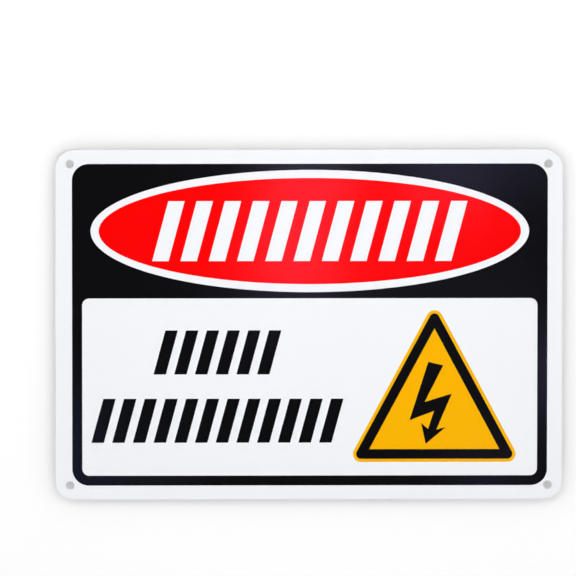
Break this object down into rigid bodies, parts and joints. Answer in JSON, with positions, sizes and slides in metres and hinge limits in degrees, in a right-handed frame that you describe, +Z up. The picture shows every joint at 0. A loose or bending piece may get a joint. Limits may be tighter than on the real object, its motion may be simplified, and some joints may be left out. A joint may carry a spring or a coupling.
{
  "type": "high voltage warning sign",
  "caption": "Flat rectangular metal safety sign with rounded corners, corner fixing holes, a red oval header, and a yellow triangle with a black bolt on a white panel.",
  "frame": {"origin": "the middle of the sheet's back face, at the centre of the pattern of fixing holes, on the wall's surface", "axes": "+Z up, +X to the right of someone who reads the sign, and the print faces -Y; the wall is on the +Y side"},
  "size_m": [0.254, 0.0011, 0.1778],
  "materials": {
    "bare_aluminium": "mill finish, rolled, with sheared edges",
    "white_coat": "smooth semi-gloss white coil coat",
    "black_ink": "semi-gloss screen ink",
    "red_ink": "semi-gloss screen ink",
    "yellow_ink": "semi-gloss screen ink"
  },
  "bodies": {
    "root": {"sheet": "bare_aluminium", "white_coat": "white_coat", "black_surround": "black_ink", "red_oval": "red_ink", "panel_bars": "black_ink", "yellow_triangle": "yellow_ink", "triangle_band": "black_ink", "bolt_symbol": "black_ink"}
  },
  "joints": []
}
